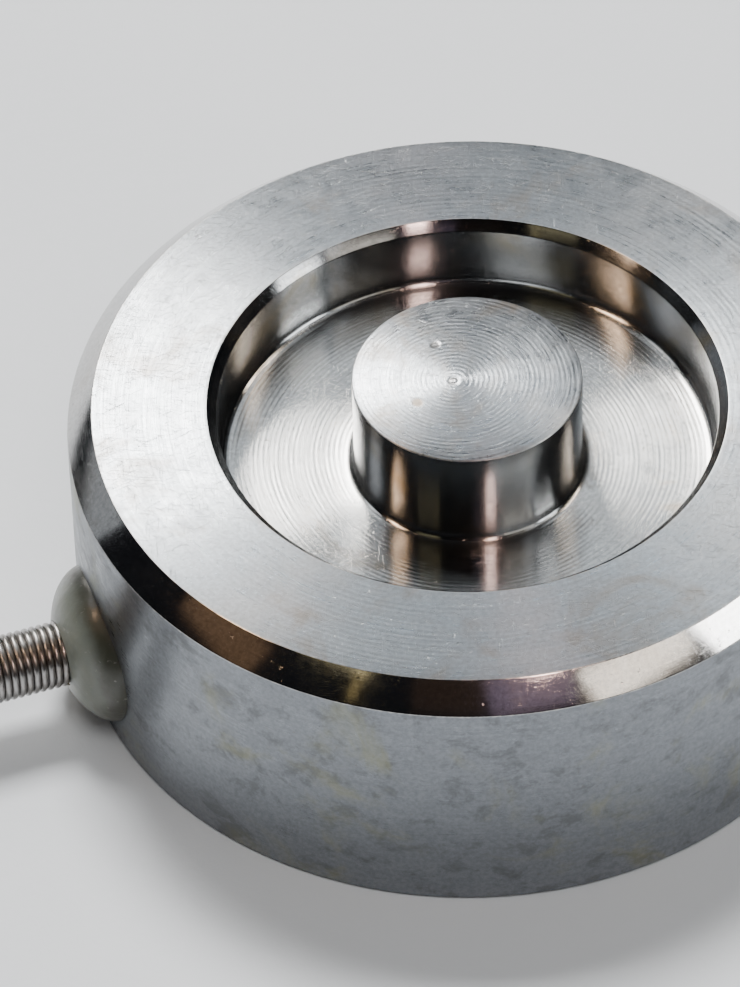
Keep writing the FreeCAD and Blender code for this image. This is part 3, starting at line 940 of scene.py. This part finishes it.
# %% Colour, roughness and height of the steel
def steel_colour(g, marks, worn, base, patch_and_shade, stain):
    """Base colour with faint streaks and dark grains, then patches, stains and specks.
    A dark patch colour is a painted shade.
    """
    streaked = g.mix(g.band(marks["Wide"], .25, .75), opaque(c * .93 for c in base), opaque(base))
    colour = g.mix(g.band(marks["Grains"], .3, .7), g.mix(.22, streaked, (0, 0, 0, 1)), streaked)
    colour = g.mix(worn["Patches"], colour, opaque(patch_and_shade))
    colour = g.mix(worn["Stains"], colour, opaque(stain))
    return g.mix(g.times(worn["Specks"], .35), colour, (.2, .18, .16, 1))


def steel_roughness(g, marks, worn, rough, spread):
    """Streaks and mottling spread the roughness, and stains and patches add to it."""
    drift = g.plus(g.times(marks["Fine"], .5), g.times(marks["Mottle"], .5))
    dulled = g.times(g.plus(worn["Stains"], worn["Patches"]), .12)
    return g.plus(g.band(drift, .3, .7, rough - spread, rough + spread), dulled)


SPECK_DEPTH = .003


def steel_height(g, marks, worn, ring_depth, grain_depth, scratch):
    """Relief in millimetres. The crown of a face is added later."""
    height = g.times(marks["Rings"], ring_depth / 2)
    for mark, depth in ((marks["Fine"], grain_depth), (marks["Wide"], ring_depth * 1.5),
                        (marks["Grains"], grain_depth * .5), (worn["Scratches"], -scratch),
                        (worn["Specks"], -SPECK_DEPTH)):
        height = g.plus(height, g.times(mark, depth))
    return height


# %% Dents, and the way the rings run
def dent_mask(g, mottle, x, y, reach):
    """Mask of a dent with a ragged rim."""
    off = g.vector("DISTANCE", g.stretch(g.places(), 1, 1, 0), (x, y, 0), out=1)
    return g.band(g.plus(off, g.times(mottle, reach * .5)), reach * 1.3, reach * .7)


def meridian(g):
    """Direction across the rings, square to the way around the axis and to the surface."""
    outward = g.vector("NORMALIZE", g.stretch(g.places(), 1, 1, 0))
    around = g.vector("CROSS_PRODUCT", (0, 0, 1), outward)
    return g.vector("CROSS_PRODUCT", around, g.add("NewGeometry", out=1))


# %% One function for every cut of the steel
def steel(name, base=(.60, .595, .59), rough=.3, spread=.1, ring_pitch=.12, ring_depth=.002,
          grain_depth=.002, stain=(.33, .25, .17), stain_share=.25, patch_and_shade=(.42, .41, .40),
          patch_share=.0, anisotropic=.7, crown=0.0, centre=(0, 0), edges=(), dents=(),
          scratch=.0012):
    """Steel off a lathe, with all sizes in millimetres.

    Worn edges are (r, z, width), and dents are (x, y, reach, depth, darkening).
    """
    made, g, shader = material(name, Metallic=1.0, Anisotropic=anisotropic)
    marks = use(g, lathe_marks, Ring_Pitch=ring_pitch, Centre_X=centre[0], Centre_Y=centre[1])
    worn = use(g, metal_wear, Stain_Share=stain_share, Patch_Share=patch_share)
    colour = steel_colour(g, marks, worn, base, patch_and_shade, stain)
    roughness = steel_roughness(g, marks, worn, rough, spread)
    height = steel_height(g, marks, worn, ring_depth, grain_depth, scratch)
    for x, y, reach, depth, darken in dents:
        inside = dent_mask(g, marks["Mottle"], x, y, reach)
        height = g.plus(height, g.times(inside, -depth))
        colour = g.mix(g.times(inside, darken), colour, opaque(stain))
    for edge_r, edge_z, width in edges:
        rub = use(g, edge_wear, Edge_Radius=edge_r, Edge_Height=edge_z, Width=width)["Rub"]
        colour = g.mix(g.times(rub, .7), colour, (.8, .79, .77, 1))
        roughness = g.plus(roughness, g.times(rub, .12))
    height = g.plus(height, g.times(g.math("POWER", marks["Radius"], 2.0), -crown / 2))
    join(g, shader, Base_Color=colour, Roughness=roughness, Normal=g.bump(height, 1.0),
         Tangent=meridian(g))
    return made


# %% Steel of the top faces
TOP_EDGE = (BODY_R - CHAMFER, BODY_H, .16)
PIP = (-.64, .07)       # where the tool stopped, a little off the axis

ring_top = steel("steel_ring_top", base=(.62, .665, .705), rough=.33, spread=.09,
                 ring_pitch=.3, ring_depth=.005, grain_depth=.003, stain_share=.45,
                 anisotropic=.9, crown=.0085, scratch=.009,
                 edges=(TOP_EDGE, (RECESS_R + RECESS_BREAK, BODY_H, .1)))
button_top = steel("steel_button_top", base=(.51, .545, .58), rough=.31, spread=.09,
                   ring_pitch=.24, ring_depth=.007, grain_depth=.008, stain_share=.6,
                   anisotropic=.75, crown=.04, centre=PIP, scratch=.003,
                   edges=((BUTTON_R, BUTTON_TOP, .12),),
                   dents=((*PIP, .33, .03, .2), (*PIP, .2, -.03, .0),
                          (-.68, 2.61, .3, .02, .3), (-2.73, -.72, .35, .004, .7)))
print("top faces", ring_top.name, button_top.name)

# %% Steel of the recess
recess_floor = steel("steel_recess_floor", base=(.62, .62, .61), rough=.18, spread=.035,
                     ring_pitch=.24, ring_depth=.0045, grain_depth=.0008, stain_share=.55,
                     anisotropic=1.0, stain=(.24, .18, .11), scratch=.0004)
recess_wall = steel("steel_recess_wall", base=(.235, .245, .255), rough=.15, spread=.03,
                    ring_pitch=.1, ring_depth=.0003, grain_depth=.0002, stain_share=.4,
                    anisotropic=.95, stain=(.2, .15, .05), scratch=.0004)
print("recess", recess_floor.name, recess_wall.name)

# %% Steel of the outside
chamfer_face = steel("steel_chamfer", rough=.10, spread=.04, ring_pitch=.1, ring_depth=.0,
                     grain_depth=.0008, stain_share=.2, anisotropic=.4, scratch=.0003,
                     edges=(TOP_EDGE, (BODY_R, BODY_H - CHAMFER, .12)))
# Painted shade: the dark base and the dark patches stand for the shadowed table that the side
# reflects. The patches also make it duller.
side_wall = steel("steel_side_wall", base=(.27, .29, .315), rough=.33, spread=.1, ring_pitch=.1,
                  ring_depth=.0, grain_depth=.003, stain=(.32, .32, .18), stain_share=.45,
                  patch_and_shade=(.12, .125, .13), patch_share=.55, anisotropic=.5,
                  edges=((BODY_R, BODY_H - CHAMFER, .12), (BODY_R, .1, .12)))
base_face = steel("steel_base", rough=.34, spread=.08, ring_pitch=.2, ring_depth=.003,
                  grain_depth=.004, stain_share=.2, anisotropic=.6)
bored = steel("steel_bored", base=(.5, .5, .5), rough=.38, spread=.08, ring_pitch=.1,
              ring_depth=.002, grain_depth=.004, stain_share=.2, anisotropic=.6)
print("outside", chamfer_face.name, side_wall.name, base_face.name, bored.name)

# %% [markdown]
# ## Which face gets which steel
#
# The body is one mesh with eight cuts of steel on it. The faces could be picked by hand in edit
# mode. Here each face is sorted by where its middle lies and which way it looks, because the
# outline's own sizes say where each cut begins, and a changed size then moves the finish with it.

# %% Sort the body's faces
BODY_FINISHES = (ring_top, button_top, recess_floor, recess_wall, chamfer_face, side_wall,
                 base_face, bored)


def body_finish(middle, normal):
    """Finish of a face of the body, from its middle in millimetres and its normal."""
    r, z = math.hypot(middle.x, middle.y), middle.z
    outwards = (normal.x * middle.x + normal.y * middle.y) / max(r, 1e-9)
    if z > BUTTON_TOP - .12 and r < BUTTON_R and normal.z > .3:
        return button_top
    if z > BODY_H - .08 and r > RECESS_R and normal.z > .92:
        return ring_top
    if r > BODY_R - CHAMFER - .05 and z > BODY_H - CHAMFER - .1 and .3 < normal.z < .93:
        return chamfer_face
    if r > BODY_R - .3 and outwards > .6:
        return side_wall
    if r < RECESS_R + .5 and z > FLOOR_Z - .05:
        return recess_floor if normal.z > .75 and z < FLOOR_Z + 1 else recess_wall
    return base_face if z < .05 and normal.z < -.5 else bored


for finish in BODY_FINISHES:
    body.data.materials.append(finish)
counts = dict.fromkeys((finish.name for finish in BODY_FINISHES), 0)
for face in body.data.polygons:
    finish = body_finish(face.center / MM, face.normal)
    face.material_index = BODY_FINISHES.index(finish)
    counts[finish.name] += 1
print("body faces by finish", counts)

# %% Threads, weld and cover
for thread in threads:
    thread.data.materials.append(bored)
seam_steel = steel("steel_weld_seam", rough=.3, ring_pitch=.3, ring_depth=0.0, grain_depth=.01,
                   stain=(.3, .22, .3), stain_share=.7, anisotropic=.2)
seam.data.materials.append(seam_steel)
cover_steel = steel("steel_cover", base=(.62, .61, .6), rough=.36, ring_pitch=.25,
                    ring_depth=.002, grain_depth=.005, stain_share=.15, anisotropic=.5)
print("weld and cover", seam_steel.name, cover_steel.name)

# %% [markdown]
# ## Spring wire
#
# Drawn wire has fine lines and a thin brown tarnish. The turned steel's rings would be wrong
# here, so the wire has its own short finish: noise stretched into lines, and a darker colour
# where a broad noise is high.

# %% Finish the spring
wire_steel, g, shader = material("spring_wire", Metallic=1.0, Anisotropic=.5)
place = g.places()
lines = g.noise(g.stretch(place, 14, 1.5, 1.5), 2.2, 3.0, .6)
tarnish = g.band(g.noise(place, .7, 5.0, .65), .42, .7)
colour = g.mix(tarnish, (.36, .35, .34, 1), (.20, .17, .14, 1))
colour = g.mix(g.band(lines, .3, .7), colour, (.40, .39, .38, 1))
join(g, shader, Base_Color=colour, Roughness=g.band(lines, .3, .7, .26, .4),
     Normal=g.bump(lines, .004))
spring.data.materials.append(wire_steel)
print("spring", wire_steel.name)

# %% [markdown]
# ## Resin
#
# The sealant is a cloudy resin: light goes a little way into it, and dust sticks to it. Glass
# would be too clear and plain plastic too dead, so the shader's subsurface share is used, under a
# thin glossy coat. A painted shade makes it near-black where it meets the steel, and it is browner
# near the table.

# %% Finish the sealant
sealant, g, shader = material("sealant_resin", Subsurface_Weight=.45, Subsurface_Scale=.8 * MM,
                              IOR=1.5, Coat_Weight=.25, Coat_Roughness=.18,
                              Subsurface_Radius=(1.0, .8, .5))
place = g.places()
along, _, height = g.parts(place)
cloud = g.noise(place, .55, 5.0, .62, .4)
dust = g.band(g.noise(place, 2.4, 5.0, .7), .62, .7)
# Painted shade: a band near the steel stands for the shade at the contact.
painted_contact_shade = g.band(g.plus(along, g.times(cloud, 1.2)), -19.8, -18.6)
low = g.band(g.plus(height, g.times(cloud, .8)), 1.9, .8)
colour = g.mix(g.band(cloud, .3, .7), (.18, .195, .165, 1), (.26, .27, .225, 1))
# The painted contact shade turns the resin near-black next to the steel.
colour = g.mix(painted_contact_shade, colour, (.045, .045, .03, 1))
colour = g.mix(g.times(low, .6), colour, (.2, .12, .06, 1))
colour = g.mix(g.times(dust, .35), colour, (.42, .41, .36, 1))
relief = g.plus(g.noise(place, .8, 3.0), g.times(g.noise(place, 5.0, 3.0), .12))
join(g, shader, Base_Color=colour, Roughness=g.band(cloud, .3, .7, .3, .45),
     Normal=g.bump(relief, .06))
dome.data.materials.append(sealant)
print("sealant", sealant.name)

# %% [markdown]
# ## Plastics
#
# Jacket, tie, sleeve and insulation are moulded or extruded. A flat colour would look like a
# drawing, so a shared group gives a slow drift of the colour, a fine grain and spots of dirt, and
# each plastic adds its own colours, gloss and amount of dirt.

# %% Group: grain of a plastic
plastic_grain, g, given, out = new_group("plastic_grain", ("Grain",), ("Drift", "Fine", "Spots"))
place = g.places()
g.feed(out, {"Drift": g.band(g.noise(place, .25, 4.0, .6), .3, .7),
             "Fine": g.noise(place, given["Grain"], 4.0, .65),
             "Spots": g.band(g.noise(place, .9, 6.0, .7), .55, .75)})


def plastic(name, low, high, rough=.42, grain=9.0, depth=.006, dirt=(.12, .11, .1), dirt_share=.15,
            **fixed):
    """Moulded or extruded plastic, between two colours, with grain and a little dirt."""
    made, g, shader = material(name, **fixed)
    marks = use(g, plastic_grain, Grain=grain)
    colour = g.mix(marks["Drift"], opaque(low), opaque(high))
    colour = g.mix(g.times(marks["Spots"], dirt_share), colour, opaque(dirt))
    roughness = g.plus(g.band(marks["Fine"], .3, .7, rough - .07, rough + .07),
                       g.times(marks["Spots"], .1))
    join(g, shader, Base_Color=colour, Normal=g.bump(marks["Fine"], depth), Roughness=roughness)
    return made


print("plastic grain", len(plastic_grain.nodes), "nodes")

# %% Finish the jacket, the tie and the sleeve
jacket = plastic("jacket_grey", (.125, .13, .135), (.16, .165, .17), .48, 7.0, .01,
                 (.3, .28, .25), .12)
tie_nylon = plastic("tie_nylon", (.62, .60, .53), (.72, .70, .64), .36, 3.0, .008,
                    Subsurface_Weight=.2, Subsurface_Scale=1 * MM)
shrunk = plastic("sleeve_shrunk", (.018, .018, .02), (.03, .03, .033), .5, 2.2, .03,
                 (.16, .15, .14), .2)
for piece, finish in ((cable, jacket), (tie, tie_nylon), (sleeve, shrunk)):
    piece.data.materials.append(finish)
print("soft pieces", jacket.name, tie_nylon.name, shrunk.name)

# %% Finish the four cores
CORE_SHADES = {"red": ((.42, .02, .015), (.52, .035, .025)),
               "black": ((.012, .012, .013), (.025, .025, .028)),
               "green": ((.01, .19, .05), (.02, .26, .08)),
               "white": ((.68, .67, .63), (.78, .77, .73))}
core_skins = {name: plastic("insulation_" + name, *shades, .34, 12.0, .004)
              for name, shades in CORE_SHADES.items()}
for lead, colour_name in zip(leads, COLOURS):
    lead.data.materials.append(core_skins[colour_name])
print("core skins", list(core_skins))

# %% [markdown]
# ## Small metals
#
# Tin, solder, gauge foil, brass and enamelled wire are tiny, and most of them are inside. They
# could share one grey metal, but their colours are how a reader tells them apart in an opened
# view. A shared group gives grain and dull places, and each metal adds two colours.

# %% Group: grain of a small metal
metal_grain, g, given, out = new_group("metal_grain", ("Grain",), ("Grains", "Dull"))
place = g.places()
g.feed(out, {"Grains": g.noise(place, given["Grain"], 5.0, .65),
             "Dull": g.band(g.noise(place, g.times(given["Grain"], .2), 4.0, .6), .35, .7)})


def small_metal(name, low, high, rough, grain, depth, **fixed):
    """Plain metal of a small part, with a grain and darker places."""
    made, g, shader = material(name, Metallic=1.0, **fixed)
    marks = use(g, metal_grain, Grain=grain)
    join(g, shader, Base_Color=g.mix(marks["Dull"], opaque(low), opaque(high)),
         Roughness=g.band(marks["Grains"], .3, .7, rough - .08, rough + .08),
         Normal=g.bump(marks["Grains"], depth))
    return made


print("metal grain", len(metal_grain.nodes), "nodes")

# %% Finish the tips, and mix the metals inside
tin = small_metal("tinned_strands", (.62, .62, .61), (.5, .5, .5), .3, 6.0, .01)
for tip in tips:
    tip.data.materials.append(tin)
pad_tin = small_metal("pad_solder", (.66, .64, .6), (.7, .52, .3), .28, 5.0, .008)
foil = small_metal("gauge_constantan", (.56, .47, .38), (.6, .52, .43), .26, 8.0, .002)
brass = small_metal("stop_brass", (.68, .52, .25), (.55, .4, .2), .3, 4.0, .006)
enamel = small_metal("enamelled_wire", (.55, .2, .07), (.42, .14, .05), .22, 8.0, .003,
                     Coat_Weight=.6)
print("metals", tin.name, pad_tin.name, foil.name, brass.name, enamel.name)

# %% [markdown]
# ## Board, gauges and resistors
#
# Under the cover sit a small green board, foil gauges on amber film and chip resistors. Tracks
# could be modelled, but they are only a few hundredths of a millimetre thick, so square cells of
# a Voronoi texture stand for them, with a weave of two waves for the glass cloth.

# %% Finish the board
board, g, shader = material("board_mask", Coat_Weight=.3, Coat_Roughness=.2)
place = g.places()
threads_x, threads_y = (g.add("TexWave", {"Vector": place, "Scale": 1.4, "Distortion": .3}, out=1,
                              bands_direction=way) for way in ("X", "Y"))
weave = g.times(threads_x, threads_y)
tracks = g.band(g.add("TexVoronoi", {"Vector": g.stretch(place, 1, 1, 0), "Scale": .9,
                                     "Randomness": .2}, distance="CHEBYCHEV"), .40, .46)
colour = g.mix(tracks, (.015, .12, .05, 1), (.03, .2, .085, 1))
join(g, shader, Base_Color=g.mix(g.times(weave, .3), colour, (.05, .2, .1, 1)),
     Roughness=g.band(weave, 0, 1, .32, .42), Normal=g.bump(tracks, .03))
film = plastic("gauge_polyimide", (.42, .2, .03), (.5, .26, .05), .25, 9.0, .003,
               Coat_Weight=.3)
ceramic = plastic("chip_body", (.03, .03, .032), (.05, .05, .055), .4, 8.0, .006,
                  (.6, .6, .58), .35)
print("board, film and chips", board.name, film.name, ceramic.name)

# %% [markdown]
# ## Nodes that are carried over
#
# The pieces under the cover are small and plain, and a finer mesh could be made for each of them,
# but it would show nothing more. They come from the CAD model as they are. Each only gets a
# finish, chosen by the start of its name, so that numbered copies share one line.

# %% Dress the CAD nodes
DRESS = {"base_cover": cover_steel, "terminal_board": board, "terminal_pads": pad_tin,
         "gauge_leads": enamel, "cable_stop": brass, "cable_lead_in": jacket,
         "gauge_carrier": film, "gauge_grid": foil, "chip_resistor": ceramic}
DRESS.update({"core_" + name: skin for name, skin in core_skins.items()})
dressed = 0
for name, node in NODES.items():
    for start, finish in DRESS.items():
        if name.startswith(start):
            node.data.materials.clear()
            node.data.materials.append(finish)
            dressed += 1
print("dressed", dressed, "nodes from", len(bpy.data.materials), "materials")

# %% [markdown]
# ## Table
#
# The part lies on a sheet of pale paper. A curved backdrop would hide the edge of a small sheet,
# but seen from above a large flat plane never shows its edge, so a plane is enough. Faint fibres
# and a slow drift of its tone keep it from looking like a screen.

# %% Lay the table
bpy.ops.object.select_all(action="DESELECT")
bpy.ops.mesh.primitive_plane_add(size=3.0)
floor = bpy.context.active_object
floor.name = "floor"

paper, g, shader = material("paper_floor")
place = g.places()
fibres = g.noise(place, 1.3, 5.0, .6)
tone = g.band(g.noise(place, .02, 3.0, .5), .3, .7)
join(g, shader, Base_Color=g.mix(tone, (.74, .75, .76, 1), (.78, .785, .79, 1)),
     Roughness=g.band(fibres, .3, .7, .62, .72), Normal=g.bump(fibres, .03))
floor.data.materials.append(paper)
print("floor", [round(v, 2) for v in floor.dimensions])

# %% [markdown]
# ## Light
#
# Turned steel shows little but what it reflects: a window, a lamp, a coloured wall. An image of a
# room could surround it, but lit cards are easier to steer, since each one becomes one streak or
# one tint on the rings. The cards are seen in reflections only. Two lamps that no reflection
# shows then light the paper and cast the shadow, so that gloss and shadow can be set apart.


# %% A soft rectangular light
def area_light(name, azimuth, elevation, distance, width, height, radiance, colour):
    """Soft rectangular light facing the part. The azimuth is counted from the camera."""
    way = direction(AZIMUTH + math.radians(azimuth), math.radians(elevation))
    data = bpy.data.lights.new(name, "AREA")
    data.shape = "RECTANGLE"
    data.size, data.size_y = width, height
    data.energy, data.color = radiance * math.pi * width * height, colour
    light = bpy.data.objects.new(name, data)
    bpy.context.scene.collection.objects.link(light)
    light.location = way * distance + Vector((0, 0, .01))
    light.rotation_euler = way.to_track_quat("Z", "Y").to_euler()
    light.visible_camera = False
    return light


# %% Cards that the steel reflects
CARDS = (
    # name, azimuth, elevation, distance, width, height, radiance, colour
    ("back", 178, 55, .9, .75, .46, 1.3, (.87, .94, 1.0)),
    ("left_back", -155, 40, .8, .30, .34, 24.0, (1.0, .965, .92)),
    ("left_low", -125, 13, .8, .5, .2, .45, (.9, .95, 1.0)),
    ("streak_tan", -79, 49, .8, .06, .22, 28.0, (1.0, .66, .42)),
    ("streak_pink", 22, 53, .8, .08, .17, 34.0, (1.0, .66, .56)),
    ("streak_cream", 120, 47, .8, .06, .22, 17.0, (1.0, .84, .68)),
    ("side_left", -108, 46, .8, .16, .16, 3.5, (.93, .96, 1.0)),
    ("side_right", 64, 47, .8, .12, .12, 2.2, (.93, .96, 1.0)),
    ("olive", -42, 47, .8, .22, .10, 1.0, (1.0, .86, .50)),
    ("block_tan", -71, 32, .8, .30, .16, .16, (1.0, .58, .30)),
    ("block_yellow", -33, 41, .8, .03, .16, .30, (1.0, .75, .30)),
    ("block_brown", -7, 43, .8, .22, .16, .03, (1.0, .55, .28)),
    ("block_purple", 16, 42, .8, .26, .16, .22, (.95, .72, 1.0)),
    ("block_cream", 46, 38, .8, .34, .16, 3.2, (1.0, .90, .78)),
    ("block_white", 74, 31, .8, .24, .2, 14.0, (1.0, .99, .97)),
)
for row in CARDS:
    area_light(*row).visible_diffuse = False
print("cards", len(CARDS))

# %% Lamps that light the paper
key = area_light("key", -176, 62, 1.0, .30, .30, 57.0, (.98, .99, 1.0))
top = area_light("top", 25, 66, 1.0, .5, .5, 4.8, (.98, .99, 1.0))
key.visible_glossy = top.visible_glossy = False
print("lamps", key.name, top.name)

# %% [markdown]
# ## Room around it
#
# Between the cards the steel has to reflect a dark room, while the paper needs some light from
# all sides, and a view past the paper should be pale. One colour can't be all three, so the
# world's colour is chosen by the kind of ray that asks for it.

# %% Set the room's colour
ROOM_LIGHT, ROOM_REFLECTED, ROOM_SEEN = (.15, .155, .16), (.010, .011, .013), (.62, .63, .64)

world = bpy.data.worlds.new("studio")
bpy.context.scene.world = world
world.use_nodes = True
room = Graph(world.node_tree)
rays = room.tree.nodes.new("ShaderNodeLightPath").outputs
shade = room.mix(rays["Is Glossy Ray"], opaque(ROOM_LIGHT), opaque(ROOM_REFLECTED))
shade = room.mix(rays["Is Camera Ray"], shade, opaque(ROOM_SEEN))
room.feed(world.node_tree.nodes["Background"], {0: shade})
print("room", world.name)
